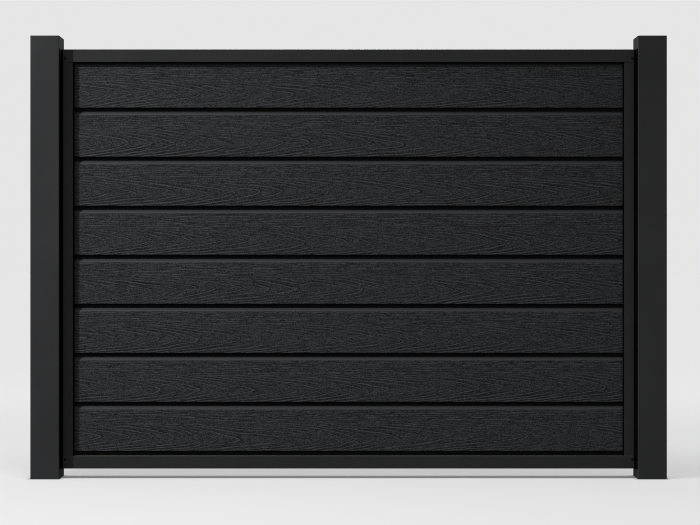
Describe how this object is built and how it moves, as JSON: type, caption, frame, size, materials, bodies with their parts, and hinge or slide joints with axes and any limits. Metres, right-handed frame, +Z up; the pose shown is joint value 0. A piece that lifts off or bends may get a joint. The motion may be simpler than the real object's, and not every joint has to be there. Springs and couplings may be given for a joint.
{
  "type": "composite fence panel",
  "caption": "Composite fence panel: horizontal tongue and groove boards with embossed wood grain, held in a slim aluminium frame between square aluminium posts.",
  "frame": {"origin": "on the ground, midway between the posts and midway through their depth", "axes": "+X along the fence, -Y towards the viewer at the front, +Z up"},
  "size_m": [1.98, 0.09, 1.38],
  "materials": {
    "powder_coat": "matte",
    "composite_board": "matte",
    "black_rubber": "matte",
    "black_steel": "satin"
  },
  "bodies": {
    "root": {"post_left": "powder_coat", "post_right": "powder_coat", "post_cap_left": "powder_coat", "post_cap_right": "powder_coat", "spacer_strip_left": "black_rubber", "spacer_strip_right": "black_rubber", "side_channel_left": "powder_coat", "side_channel_right": "powder_coat", "top_rail": "powder_coat", "bottom_rail": "powder_coat", "starter_strip": "composite_board", "board_1": "composite_board", "board_2": "composite_board", "board_3": "composite_board", "board_4": "composite_board", "board_5": "composite_board", "board_6": "composite_board", "board_7": "composite_board", "board_8": "composite_board", "edge_seal_front_left": "black_rubber", "edge_seal_front_right": "black_rubber", "edge_seal_rear_left": "black_rubber", "edge_seal_rear_right": "black_rubber", "corner_screws": "black_steel", "post_screws": "black_steel"}
  },
  "joints": []
}
